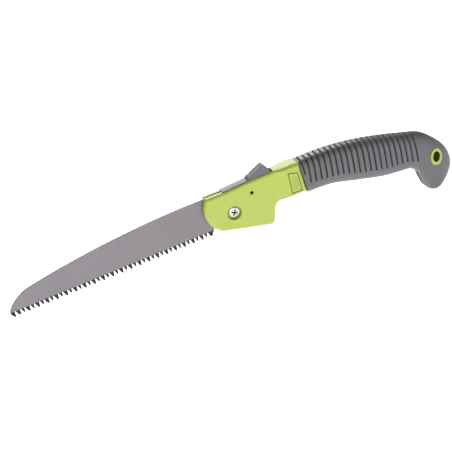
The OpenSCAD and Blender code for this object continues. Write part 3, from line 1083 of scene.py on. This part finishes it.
@dataclass
class Grip:
    """The two rubber halves of the grip, with their grooves."""

    finishes: Finishes
    form: HandleForm
    grooves: int = 21
    first_top: float = 73.4
    top_pitch: float = 5.17
    first_belly: float = 72.07
    belly_pitch: float = 5.33
    start: float = -1.58
    start_lean: float = 5.15
    groove_width: float = 1.4
    groove_depth: float = 1.5
    wall: float = 0.32
    seam: float = 0.14
    no_groove: float = 99.0
    skins: dict = field(default_factory=dict)

    def groove_tree(self) -> bpy.types.NodeTree:
        """A tree that presses the grooves into the grip along its normals.

        Returns:
            The tree. It reads how far each point is across and past its groove.
        """
        tree, given = new_tree("grip grooves", {"Width": 1.5, "Depth": 1.0, "Wall": 0.3})
        math_node = "ShaderNodeMath"
        across, past = (
            add_node(tree, "GeometryNodeInputNamedAttribute", {"Name": name}, data_type="FLOAT")
            for name in ("across", "past")
        )
        beyond = add_node(tree, math_node, {0: past, 1: 0.0}, operation="MAXIMUM")
        squared = add_node(tree, math_node, {0: beyond, 1: beyond}, operation="MULTIPLY")
        total = add_node(
            tree, math_node, {0: across, 1: across, 2: squared}, operation="MULTIPLY_ADD"
        )
        distance = add_node(tree, math_node, {0: total}, operation="SQRT")
        half = add_node(tree, math_node, {0: given["Width"], 1: 0.5}, operation="MULTIPLY")
        inner = add_node(tree, math_node, {0: half, 1: given["Wall"]}, operation="SUBTRACT")
        outer = add_node(tree, math_node, {0: half, 1: given["Wall"]}, operation="ADD")
        share = add_node(
            tree, "ShaderNodeMapRange",
            {"Value": distance, "From Min": inner, "From Max": outer, "To Min": 1.0, "To Max": 0.0},
            interpolation_type="SMOOTHSTEP",
        )
        depth = add_node(tree, math_node, {0: share, 1: given["Depth"]}, operation="MULTIPLY")
        down = add_node(tree, math_node, {0: depth, 1: -1.0}, operation="MULTIPLY")
        outward = add_node(
            tree, "GeometryNodeInputNamedAttribute", {"Name": "outward"}, data_type="FLOAT_VECTOR"
        )
        offset = add_node(
            tree, "ShaderNodeVectorMath", {0: outward, "Scale": down}, operation="SCALE"
        )
        # The groove depth is kept for the rubber's painted shade in the grooves.
        marked = add_node(
            tree, "GeometryNodeStoreNamedAttribute",
            {"Geometry": given["Geometry"], "Name": "groove_depth", "Value": share},
            data_type="FLOAT", domain="POINT",
        )
        pressed = add_node(tree, "GeometryNodeSetPosition", {"Geometry": marked, "Offset": offset})
        end_tree(tree, pressed, self.finishes.rubber)
        return tree

    def rows(self) -> list[tuple[float, float, float]]:
        """The rows of the grip's mesh.

        Returns:
            For each row its place counted in grooves, and the places of its ends on the top
            line and on the belly line.
        """
        t = np.linspace(0, 6.6, 400)
        top_x = np.array([self.form.top(v)[0] for v in t])
        belly_x = np.array([self.form.belly(v)[0] for v in t])
        rise = [0.06, 0.115, 0.155, 0.19, 0.225, 0.28, 0.38]
        cell = [-0.5, *(-c for c in rise[::-1]), 0, *rise]
        places = [k + c for k in range(-2, self.grooves) for c in cell]
        places = [self.start, *(p for p in places if p > self.start + 0.05), self.grooves - 0.5]
        rows = []
        for s in places:
            lean = self.start_lean * float(smoothstep(-s / -self.start))
            on_top = float(np.interp(self.first_top + self.top_pitch * s, top_x, t))
            on_belly = float(np.interp(self.first_belly + self.belly_pitch * s + lean, belly_x, t))
            rows.append((s, max(on_top, 0.0), max(on_belly, 0.0)))
        _, top_end, belly_end = rows[-1]
        rest = 64
        for i in range(1, rest + 1):
            q = i / rest
            on_top = top_end + (11 - top_end) * q
            gap = (belly_end - top_end) * (1 - float(smoothstep(q / 0.75)))
            rows.append((self.grooves - 0.5 + i * 0.4, on_top, min(on_top + gap, 11.0)))
        return rows

    def end_height(self, s: float) -> float:
        """The height at which a groove ends on the side of the grip."""
        ends = [12.0, 2.1, 1.5, 0.3, -1.8, -5.4, -8.9, -11.5, -13.7, -15.0, -16.2, -20.3]
        return float(np.interp(s, [-1, *range(0, 21, 2)], ends))

    def half_mesh(self, side: Side) -> bpy.types.Object:
        """One half of the grip as a closed mesh with its groove attributes.

        Args:
            side: The side of the middle plane.

        Returns:
            The new object.
        """
        upper, around_end, lower = 30, 11, 18
        rings, past_rows, s_rows = [], [], []
        angles = np.linspace(0, math.pi, 400)
        for s, on_top, on_belly in self.rows():
            mid_t = (on_top + on_belly) / 2
            top, belly = self.form.top(on_top), self.form.belly(on_belly)
            power = self.form.power(mid_t)
            bulge = np.abs(np.sin(angles)) ** (2 / power)
            reach = np.sign(np.cos(angles)) * np.abs(np.cos(angles)) ** (2 / power)
            flat = (top + belly) / 2 + reach[:, None] * (top - belly) / 2
            thick = side.value * self.form.thick(mid_t)
            curve = np.stack([flat[:, 0], thick * bulge, flat[:, 1]], 1)
            curve[-1, 1] = curve[0, 1] = 0.0
            steps = np.linalg.norm(np.diff(curve, axis=0), axis=1)
            length = np.concatenate([[0], np.cumsum(steps)])
            whole = length[-1]
            end = whole * 0.62
            if s <= self.grooves - 0.4:
                end = float(np.interp(-self.end_height(s), -curve[:, 2], length))
            end = min(end, whole - 6.0) if whole > 14 else whole * 0.6
            margin = min(1.4, whole * 0.08)
            marks = np.concatenate([
                np.linspace(0, end - margin, upper, endpoint=False),
                np.linspace(end - margin, end + margin, around_end, endpoint=False),
                np.linspace(end + margin, whole, lower),
            ])
            ring = np.stack([np.interp(marks, length, curve[:, k]) for k in range(3)], 1)
            down = (belly - top) / np.linalg.norm(belly - top)
            ring[0] += np.array([down[0], 0, down[1]]) * self.seam
            ring[1, 1] = side.value * max(abs(ring[1, 1]), 0.3)
            rings.append(ring)
            past_rows.append(marks - end)
            s_rows.append(s)
        count, size = len(rings), len(rings[0])
        grid = np.array(rings)
        places = np.array(s_rows)
        along, around = np.gradient(grid, axis=0), np.gradient(grid, axis=1)
        pitch = np.linalg.norm(along / np.gradient(places)[:, None, None], axis=2)
        index = np.round(places)
        across = (places - index)[:, None] * pitch
        across[(index < -1) | (index > self.grooves - 1)] = self.no_groove
        outward = np.cross(along, around)
        outward *= side.value / np.maximum(np.linalg.norm(outward, axis=2), 1e-9)[..., None]
        middle = (grid[:, :1] + grid[:, -1:]) / 2
        outward *= np.sign(np.sum(outward * (grid - middle), axis=2))[..., None]
        starts = [(i * size, (i + 1) * size) for i in range(count - 1)]
        faces = [(a + j, a + j + 1, b + j + 1, b + j) for a, b in starts for j in range(size - 1)]
        faces += [(a, b, b + size - 1, a + size - 1) for a, b in starts]
        faces += [tuple(range(size)), tuple(range((count - 1) * size, count * size))]
        mesh = bpy.data.meshes.new("grip_" + side.name.lower())
        mesh.from_pydata([tuple(p) for p in grid.reshape(-1, 3)], [], faces)
        for label, values in (("across", across), ("past", np.array(past_rows))):
            made = mesh.attributes.new(label, "FLOAT", "POINT")
            made.data.foreach_set("value", values.astype(np.float32).ravel())
        made = mesh.attributes.new("outward", "FLOAT_VECTOR", "POINT")
        made.data.foreach_set("vector", outward.astype(np.float32).ravel())
        return flipped(linked(mesh.name, mesh))

    def build(self) -> None:
        """Builds both halves and hands them over."""
        tree = self.groove_tree()
        sizes = {"Width": self.groove_width, "Depth": self.groove_depth, "Wall": self.wall}
        for side in Side:
            half = self.half_mesh(side)
            self.skins[side] = BVHTree.FromPolygons(
                [v.co for v in half.data.vertices], [f.vertices for f in half.data.polygons]
            )
            pattern(half, tree, sizes)
            low, high = sorted((side.value * self.form.core_half, -side.value))
            seat_r = self.form.eye_seat_r
            tools = [
                plate("core", self.form.core_outline(), low, high),
                self.form.slot("slot"),
                turned("barrel", [(seat_r, -30), (seat_r, 30)], self.form.eye),
            ]
            if side is Side.FAR:
                profile = [(SCREW_SEAT_R, SCREW_SEAT_Y), (SCREW_SEAT_R, 30)]
                tools += [turned("screw_hole", profile, at, 48) for at in SCREWS_AT]
            combine(half, tools, Cut.REMOVE)
            for label in ("across", "past", "outward"):
                if label in half.data.attributes:
                    half.data.attributes.remove(half.data.attributes[label])
            # Painted shade on the walls of the blade's slot.
            mark = half.data.attributes.new("recess", "FLOAT", "FACE")
            for face in half.data.polygons:
                near = abs(face.center.y) < self.form.slot_half + 0.05
                mark.data[face.index].value = float(near and abs(face.normal.y) > 0.9)
            node = "grip_" + side.name.lower()
            half.name = "rubber_" + node
            hand_over(half, "handle", self.finishes.rubber, [node], sharp=50)


@dataclass
class Frame:
    """The two lime halves of the frame: cheek, collar and core, with all that is cut in them."""

    finishes: Finishes
    form: HandleForm
    head_half: float = 6.0
    collar_half: float = 8.4
    cheek_in: float = 1.0
    head_rise: float = 22.0
    edge_round: float = 2.6
    flare: tuple = (40.0, 52.5)
    panel: tuple = ((53.5, -2.5), (64.0, -2.7), (62.8, 15.8), (53.4, 18.6))
    panel_line: float = 0.9
    line_at: tuple = (55.8, 6.9)
    gap_end: float = 42.7
    well_half: float = 4.2
    well_x: float = 20.49
    bar_floor: float = 20.3
    well_floor: float = 17.0
    spring_floor: float = 13.4
    pin_reach: float = 4.2
    shank_r: float = 2.6
    bush_seat: tuple = (4.51, 2.2)
    head_seat_r: float = 6.5
    nut_seat: tuple = (5.05, 2.4)
    nut_r: float = 4.75
    nut_low: float = 3.1

    def top_z(self, x: float) -> float:
        """The height of the head's top at x."""
        return self.head_rise + float(np.interp(x, [-5.2, 18.3, 42, 66], [0, 1.3, 1.7, 2.3]))

    def head_outline(self) -> Outline:
        """Works out the outline of the head and the collar.

        Returns:
            The outline, from the nose down round the chin to the grip and back along the top.
        """
        outline = arc((-19.6, 19.0), 3.0, 90, 149, 7)
        outline += arc((-0.5, 7.5), 25.3, 152, 237, 37)
        outline += [(0.0, -17.9), (28.2, -25.7)]
        outline += arc((29.9, -21.3), 4.6, 262, 340, 14)
        outline += arc((44.5, -13.6), 7.5, 158, 90, 16)
        outline += [(x, -6.1) for x in (50.0, 56.0, 62.0)]
        outline += [(68.5, -5.95), (65.9, 23.6)]
        tops = (60.0, 54.0, 48.0, 42.0, 30.0, 18.3, 6.0, -5.2)
        return outline + [(x, self.top_z(x)) for x in tops] + [(-12.0, 21.98)]

    def head(self, side: Side) -> bpy.types.Object:
        """Makes the head and collar of one half, swelling towards the front of the grip.

        Args:
            side: The side of the middle plane.

        Returns:
            The new object.
        """
        outline = self.head_outline()
        low, high = (-self.head_half, 0.0) if side is Side.NEAR else (0.0, self.head_half)
        rounding = (self.edge_round, 0.0) if side is Side.NEAR else (0.0, self.edge_round)
        made = soft_plate("frame_" + side.name.lower(), outline, low, high, rounding, steps=7)
        work = bmesh.new()
        work.from_mesh(made.data)
        start, end = self.flare
        for x in np.linspace(start, end, 12):
            bmesh.ops.bisect_plane(
                work, geom=[*work.verts, *work.edges, *work.faces],
                plane_co=(x, 0, 0), plane_no=(1, 0, 0),
            )
        for v in work.verts:
            rise = float(smoothstep((v.co.x - start) / (end - start)))
            v.co.y *= 1 + rise * (self.collar_half / self.head_half - 1)
        bmesh.ops.recalc_face_normals(work, faces=work.faces)
        work.to_mesh(made.data)
        work.free()
        return made

    def hole(self, at: Point, radius: float, low: float, high: float) -> bpy.types.Object:
        """A round hole to cut, along Y."""
        return turned("hole", [(radius, low), (radius, high)], at)

    def shared_cuts(self) -> list[bpy.types.Object]:
        """Makes what is cut out of both halves.

        Returns:
            The rooms of the blade, the latch and its spring, and the holes that go through.
        """
        end, wide, bush_r, bush_y = self.gap_end, self.well_half, *self.bush_seat
        return [
            block("blade_gap", (-60, -self.cheek_in, -60), (end, self.cheek_in, 60)),
            self.form.slot("slot"),
            block("bar_recess", (-5.5, -wide, self.bar_floor), (20.5, wide, 40)),
            block("thumb_well", (self.well_x, -wide, self.well_floor), (end, wide, 40)),
            turned_up("spring_well", SPRING_AT, SPRING_ROOM_R, self.spring_floor, 33.4),
            self.hole(LATCH_PIN_AT, LATCH_PIN_R, -10, 10),
            self.hole(STOP_AT, STOP_R + 0.01, -self.pin_reach, self.pin_reach),
            self.hole((0, 0), bush_r, -bush_y, bush_y),
            self.hole((0, 0), self.shank_r, -9, 9),
            self.hole(self.form.eye, self.form.eye_seat_r, -20, 20),
        ]

    def near_cuts(self) -> list[bpy.types.Object]:
        """Makes what is cut out of the near half alone.

        Returns:
            The seat of the screw's head, the panel's groove and the ends of the case screws.
        """
        r, y = self.head_seat_r, self.head_half
        plateau = plate("plateau", inset(self.panel, self.panel_line), -12, -5)
        return [
            turned("head_seat", [(r + 8, -y - 8), (r, -y + 0.3), (r, -2.2)]),
            combine(plate("panel", self.panel, -9.4, -7.5), [plateau], Cut.REMOVE),
            *(turned("screw_hole", [(1.5, -4), (1.5, 1)], at, 48) for at in SCREWS_AT),
        ]

    def far_cuts(self) -> list[bpy.types.Object]:
        """Makes what is cut out of the far half alone.

        Returns:
            The pocket of the nut, the seat of its washer, and the holes of the case screws.
        """
        (r, low), y = self.nut_seat, self.head_half
        cuts = [
            turned("nut_pocket", [(self.nut_r, self.nut_low), (self.nut_r, 9)], around=6),
            turned("nut_seat", [(r, low), (r, y - 0.3), (r + 8, y + 8 - 0.3)]),
        ]
        for at in SCREWS_AT:
            cuts.append(turned("bore", [(1.65, -1), (1.65, 20)], at, 48))
            seat = [(SCREW_SEAT_R, SCREW_SEAT_Y), (SCREW_SEAT_R, 20)]
            cuts.append(turned("seat", seat, at, 48))
        return cuts

    def line_tree(self) -> bpy.types.NodeTree:
        """A tree that sets the cutters of the panel's upright lines side by side.

        Returns:
            The tree. It makes a bar of the given width, depth and height, and a row of them.
        """
        sizes = {"Pitch": 1.3, "Width": 0.4, "Height": 14.0, "Depth": 1.6}
        tree, given = new_tree("panel lines", sizes)
        size = add_node(
            tree, "ShaderNodeCombineXYZ",
            {"X": given["Width"], "Y": given["Depth"], "Z": given["Height"]},
        )
        bar = add_node(tree, "GeometryNodeMeshCube", {"Size": size})
        end_tree(tree, row_of(tree, given["Pitch"], 5, bar), self.finishes.lime)
        return tree

    def build(self) -> None:
        """Builds both halves and hands them over."""
        for side in Side:
            half = self.head(side)
            inner, outer = sorted((0.0, side.value * self.form.core_half))
            combine(half, [plate("core", self.form.core_outline(), inner, outer)], Cut.ADD)
            own_cuts = self.near_cuts if side is Side.NEAR else self.far_cuts
            combine(half, self.shared_cuts() + own_cuts(), Cut.REMOVE)
            if side is Side.NEAR:
                self.cut_lines(half)
            self.mark_recesses(half)
            node = "frame_" + side.name.lower()
            half.name = "lime_" + node
            hand_over(half, "handle", self.finishes.lime, [node], sharp=30)

    def cut_lines(self, half: bpy.types.Object) -> None:
        """Cuts the fine upright lines of the panel.

        Args:
            half: The near half of the frame.
        """
        sizes = {"Pitch": 1.35, "Width": 0.4, "Height": 12.6, "Depth": 1.5}
        lines = pattern(seed(), self.line_tree(), sizes)
        x, z = self.line_at
        lines.data.transform(Matrix.Translation((x, -self.collar_half - 0.4, z)))
        combine(half, [lines], Cut.REMOVE)

    def mark_recesses(self, half: bpy.types.Object) -> None:
        """Marks the faces in the blade's gap and in the panel's grooves for painted shade.

        Args:
            half: A half of the frame.
        """
        mark = half.data.attributes.new("recess", "FLOAT", "FACE")
        for face in half.data.polygons:
            x, y, z = face.center
            sunk = y + self.collar_half
            share = 0.0
            # Painted shade in the panel's groove and lines: light where shallow, darker deeper in.
            if 53 < x < 64.3 and -3 < z < 19 and 0.05 < sunk < 1:
                share = 0.12 if sunk < 0.37 else 0.5
            # Painted shade, full, on the walls of the blade's gap.
            if abs(y) < self.form.slot_half + 0.1 and abs(face.normal.y) > 0.9:
                share = 1.0
            mark.data[face.index].value = share


# ---------- Latch ----------


@dataclass
class Latch:
    """The grey thumb latch with its ladder of ribs, and the room for the steel lock plate inside
    it.
    """

    finishes: Finishes
    half: float = 4.0
    room_half: float = 0.86
    edge_round: float = 0.45
    ramp_start: tuple = (22.6, 26.6)
    ramp_end: tuple = (34.4, 32.2)
    pad_deep: float = 0.3
    pad_span: tuple = (0.9, 12.3)
    pad_half: float = 3.2
    first_rung: float = 1.5

    def outline(self) -> Outline:
        """The outline of the cap from the side.

        Returns:
            The outline, from the nose of the bar along its top to the thumb ramp and back.
        """
        return [
            (-5.2, 20.5), (-5.2, 22.4), (6.5, 23.2), (18.3, 23.9), (19.3, 25.2), (21.2, 26.1),
            (22.4, 26.5), (28.4, 29.4), (34.4, 32.2), (35.2, 32.5), (36.0, 31.9), (41.0, 24.0),
            (41.0, 21.3), (22.0, 20.9), (19.5, 20.5),
        ]

    def plate_outline(self) -> Outline:
        """The outline of the room for the lock plate inside the cap.

        Returns:
            The outline, down round the lock tooth to the ear at the latch pin and back.
        """
        return [
            (-3.2, 21.4), (-3.2, 17.9), (-1.15, 17.9), (-1.15, 14.85), (0.65, 14.85),
            (1.15, 17.9), (10.0, 17.6), (15.2, 12.5), (23.2, 11.0), (29.5, 19.6), (29.5, 26.7),
            (24.0, 24.7), (19.0, 21.4),
        ]

    def rib_tree(self) -> bpy.types.NodeTree:
        """A tree that lays rounded rungs along the thumb ramp.

        Returns:
            The tree. It makes a round bar of the given radius and length, and a row of them.
        """
        tree, given = new_tree("thumb rungs", {"Pitch": 1.3, "Radius": 0.3, "Length": 5.6})
        bar = add_node(
            tree, "GeometryNodeMeshCylinder",
            {"Vertices": 12, "Radius": given["Radius"], "Depth": given["Length"]},
        )
        across = (math.radians(90), 0.0, 0.0)
        tipped = add_node(tree, "GeometryNodeTransform", {"Geometry": bar, "Rotation": across})
        end_tree(tree, row_of(tree, given["Pitch"], 9, tipped), self.finishes.latch)
        return tree

    def build(self) -> None:
        """Builds the cap and hands it over."""
        rounding = (self.edge_round, self.edge_round)
        cap = soft_plate("thumb_latch", self.outline(), -self.half, self.half, rounding, 4)
        (x0, z0), (x1, z1) = self.ramp_start, self.ramp_end
        angle = -math.atan2(z1 - z0, x1 - x0)
        spin = Matrix.Translation((x0, 0, z0)) @ Matrix.Rotation(angle, 4, "Y")
        (start, end), wide = self.pad_span, self.pad_half
        pad = block("pad", (start, -wide, -self.pad_deep), (end, wide, 2.0))
        pad.data.transform(spin)
        tools = [
            plate("plate_room", self.plate_outline(), -self.room_half, self.room_half),
            turned_up("spring_room", SPRING_AT, SPRING_ROOM_R, 0.0, 25.0),
            pad,
        ]
        combine(cap, tools, Cut.REMOVE)
        sizes = {"Pitch": 1.26, "Radius": 0.32, "Length": 6.5}
        rungs = pattern(seed(), self.rib_tree(), sizes)
        place = Matrix.Translation((self.first_rung, 0, -self.pad_deep))
        rungs.data.transform(spin @ place)
        combine(cap, [rungs], Cut.ADD)
        hand_over(cap, "latch", self.finishes.latch, ["latch_cap"], sharp=28)


# ---------- Eyelet and pivot ----------


@dataclass
class Eyelet:
    """The lime rings around the hanging hole, oval and laid on the curve of the hook."""

    finishes: Finishes
    form: HandleForm
    grip: Grip
    hole_r: float = 4.6
    rim_r: float = 7.6
    barrel_r: float = 5.9
    proud: float = 0.75
    oval: tuple = (0.82, 1.12)
    widest: float = 9.98
    barrel_end: float = 8.0
    face: float = 20.0
    rim_high: float = 1.3

    def ring(self, side: Side, name: str, back: float) -> bpy.types.Object:
        """A ring whose face lies on the side of the hook.

        Args:
            side: The side of the middle plane.
            name: The object's name.
            back: Where its barrel ends, counted outwards from the middle plane.

        Returns:
            The new object.
        """
        centre, face, inner, outer = self.form.eye, self.face, self.hole_r, self.rim_r
        crown = [
            (inner, face - 0.9), (inner + 0.1, face - 0.35), (inner + 0.35, face - 0.1),
            (inner + 0.8, face), (outer - 1.0, face), (outer - 0.45, face - 0.1),
            (outer - 0.12, face - 0.35), (outer, face - 0.8),
        ]
        under, neck = face - self.rim_high, 6.0
        profile = [(inner, back), (inner, neck), *crown, (outer, under)]
        profile += [(self.barrel_r, under), (self.barrel_r, neck), (self.barrel_r, back)]
        made = turned(name, [(r, side.value * y) for r, y in profile], centre, hoop=True)
        # Painted shade inside the bore, below the rim's face.
        mark = made.data.attributes.new("recess", "FLOAT", "POINT")
        skin = self.grip.skins[side]
        for v in made.data.vertices:
            mark.data[v.index].value = float(abs(v.co.y) < face - 0.6)
            if abs(v.co.y) < self.barrel_end:
                continue
            v.co.x = centre[0] + (v.co.x - centre[0]) * self.oval[0]
            v.co.z = centre[1] + (v.co.z - centre[1]) * self.oval[1]
            start, way = Vector((v.co.x, side.value * 30, v.co.z)), Vector((0, -side.value, 0))
            height = abs(skin.ray_cast(start, way)[0].y) + self.proud + abs(v.co.y) - face
            v.co.y = side.value * min(height, self.widest)
        return flipped(made)

    def build(self) -> None:
        """Builds both rings and hands them over."""
        rings = ((Side.NEAR, -7.0, "hanging_eyelet"), (Side.FAR, 7.0, "eyelet_ring"))
        for side, back, node in rings:
            made = self.ring(side, "hanging_eyelet_" + side.name.lower(), back)
            hand_over(made, "handle", self.finishes.lime, [node], sharp=40)


@dataclass
class Pivot:
    """The pivot screw and its nut."""

    finishes: Finishes
    head_y: float = -5.0
    head_r: float = 5.0
    shank_r: float = 2.5
    nut_low: float = 3.1
    nut_high: float = 5.7

    def screw(self) -> bpy.types.Object:
        """Makes the screw.

        Returns:
            The new object, with a domed head, a cross drive marked for painted shade, and a
            chamfered end.
        """
        y, r = self.head_y, self.head_r
        profile = [
            (0.01, y), (1.6, y + 0.02), (3.0, y + 0.1), (4.1, y + 0.27), (4.7, y + 0.5),
            (4.95, y + 0.8), (r, y + 1.1), (r, y + 1.9), (4.9, y + 2.0), (self.shank_r, y + 2.0),
            (self.shank_r, 5.3), (2.1, 5.78), (0.01, 5.8),
        ]
        made = turned("pivot_screw_cross_head", profile)
        wings = []
        for turn in (30, 120):
            outline = [(-3.0, -0.65), (3.0, -0.65), (3.0, 0.65), (-3.0, 0.65)]
            deep = [(-0.9, -0.42), (0.9, -0.42), (0.9, 0.42), (-0.9, 0.42)]
            levels = ((outline, y - 0.3), (outline, y + 0.2), (deep, y + 1.7))
            wing = loft("wing", [layer(*level) for level in levels])
            wing.data.transform(Matrix.Rotation(math.radians(turn), 4, "Y"))
            wings.append(flipped(wing))
        combine(made, wings, Cut.REMOVE)
        # Painted shade in the cross of the head, where light does not reach.
        mark = made.data.attributes.new("recess", "FLOAT", "FACE")
        for face in made.data.polygons:
            inside = math.hypot(face.center.x, face.center.z) < 3.1
            mark.data[face.index].value = float(inside and y + 0.12 < face.center.y < y + 1.8)
        return made

    def nut(self) -> bpy.types.Object:
        """Makes the hexagonal nut.

        Returns:
            The new object, with its corners turned off.
        """
        low, high = self.nut_low, self.nut_high
        body = turned("pivot_nut_hex", [(4.6, low), (4.6, high)], around=6)
        bore = [
            (2.52, low - 1), (2.52, high - 0.4), (3.0, high + 0.02), (3.0, high + 2),
            (0.01, high + 2), (0.01, low - 1),
        ]
        combine(body, [turned("bore", bore)], Cut.REMOVE)
        rim = [
            (4.1, high + 0.5), (4.1, high), (4.62, high - 0.3), (6, high - 0.8), (6, high + 0.5)
        ]
        return combine(body, [turned("rim", rim, hoop=True)], Cut.REMOVE)

    def build(self) -> None:
        """Builds the screw and the nut and hands them over."""
        bright = self.finishes.bright
        hand_over(self.screw(), "handle", bright, ["pivot_screw"], sharp=25)
        hand_over(self.nut(), "handle", bright, ["pivot_nut"], sharp=25)


@dataclass
class Spring:
    """The latch spring, a coil of round wire with closed ends."""

    finishes: Finishes
    radius: float = 2.0
    wire: float = 0.3
    low: float = 13.73
    high: float = 24.65
    turns: float = 6.0
    squeezed: float = 0.78

    def build(self) -> None:
        """Builds the spring by sweeping a ring along its coil."""
        steps = int(self.turns * 28)
        up = np.array([0, 0, 1])
        rings = []
        for i in range(steps + 1):
            share = i / steps
            turn = 2 * math.pi * self.turns * share
            climbed = float(np.interp(share, [0, 0.14, 0.86, 1], [0, 0.05, 0.95, 1]))
            rise = self.low + (self.high - self.low) * climbed
            out = np.array([math.cos(turn), math.sin(turn), 0])
            centre = np.array([*SPRING_AT, rise]) + self.radius * out
            ring = [
                centre + self.wire * (math.cos(a) * out + math.sin(a) * up)
                for a in np.linspace(0, 2 * math.pi, 10, endpoint=False)
            ]
            rings.append(np.array(ring))
        made = loft("latch_coil_spring", rings)
        hand_over(made, "handle", self.finishes.bright, ["latch_spring"], sharp=60)
        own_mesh(made)


# ---------- Studio ----------


@dataclass
class Studio:
    """A pale floor, soft light and the camera."""

    camera_at: tuple = (-0.12833, -0.55682, 0.39575)
    forward: tuple = (0.17153, 0.83555, -0.52195)
    right: tuple = (0.91185, -0.33522, -0.23697)
    up: tuple = (0.37297, 0.43529, 0.81940)
    lens: float = 60.5
    glow: float = 0.75
    ambient: float = 0.12
    back_watts: float = 46.0
    front_watts: float = 21.0

    def camera(self) -> None:
        """Sets up the camera."""
        data = bpy.data.cameras.new("camera")
        data.lens, data.sensor_width = self.lens, 36.0
        made = linked("camera", data)
        turn = Matrix((self.right, self.up, [-v for v in self.forward])).transposed()
        made.matrix_world = Matrix.Translation(self.camera_at) @ turn.to_4x4()
        bpy.context.scene.camera = made

    def lamp(self, name: str, at: Point, size: float, watts: float) -> None:
        """Adds a soft square lamp that faces the saw.

        Args:
            name: The lamp's name.
            at: Its place in metres.
            size: Its side in metres.
            watts: Its power.
        """
        data = bpy.data.lights.new(name, "AREA")
        data.energy, data.size = watts, size
        made = linked(name, data)
        made.location = at
        made.rotation_euler = (-Vector(at)).to_track_quat("-Z", "Y").to_euler()

    def floor(self) -> None:
        """Adds the pale floor that the saw stands on."""
        mesh = bpy.data.meshes.new("floor")
        mesh.from_pydata([(-6, -6, 0), (6, -6, 0), (6, 6, 0), (-6, 6, 0)], [], [(0, 1, 2, 3)])
        finish = bpy.data.materials.new("matt white card")
        finish.use_nodes = True
        tree = finish.node_tree
        looks = {
            "Base Color": linear("#FBFBFB"), "Roughness": 0.9, "Specular IOR Level": 0.1,
            "Emission Color": linear("#FFFFFF"), "Emission Strength": self.glow,
        }
        feed(tree, tree.nodes["Principled BSDF"], looks)
        mesh.materials.append(finish)
        made = linked("floor", mesh)

    def build(self) -> None:
        """Builds the whole studio."""
        self.camera()
        self.floor()
        self.lamp("back_softbox", (0.3, 1.6, 1.05), 1.5, self.back_watts)
        self.lamp("front_fill", (-0.5, -1.7, 0.45), 1.4, self.front_watts)
        world = bpy.data.worlds.new("studio")
        world.use_nodes = True
        tree = world.node_tree
        looks = {"Color": linear("#FFFFFF"), "Strength": self.ambient}
        feed(tree, tree.nodes["Background"], looks)
        bpy.context.scene.world = world
        bpy.context.scene.view_settings.view_transform = "Standard"


def dress_hidden(finishes: Finishes) -> None:
    """Gives the CAD nodes that keep their shape their materials.

    Args:
        finishes: The saw's finishes.
    """
    bright = (
        "screw_washer", "pivot_bush", "blade_washer_near", "blade_washer_far", "nut_washer",
        "stop_pin", "case_screws",
    )
    looks = {node: finishes.bright for node in bright}
    looks |= {"latch_pin": finishes.black, "lock_plate": finishes.plain}
    for node, finish in looks.items():
        made = frame["nodes"][node]
        made.data.materials.clear()
        made.data.materials.append(finish)
        LOG.info("%s keeps its CAD shape", node)


def main() -> None:
    """Builds the saw and its studio in order."""
    logging.basicConfig(level=logging.INFO, format="%(name)s: %(message)s")
    finishes = make_finishes()
    form = HandleForm()
    grip = Grip(finishes, form)
    for assembly in (
        Blade(finishes), Frame(finishes, form), grip, Latch(finishes),
        Eyelet(finishes, form, grip), Pivot(finishes), Spring(finishes),
    ):
        assembly.build()
    dress_hidden(finishes)
    Studio().build()


if __name__ == "__main__":
    main()
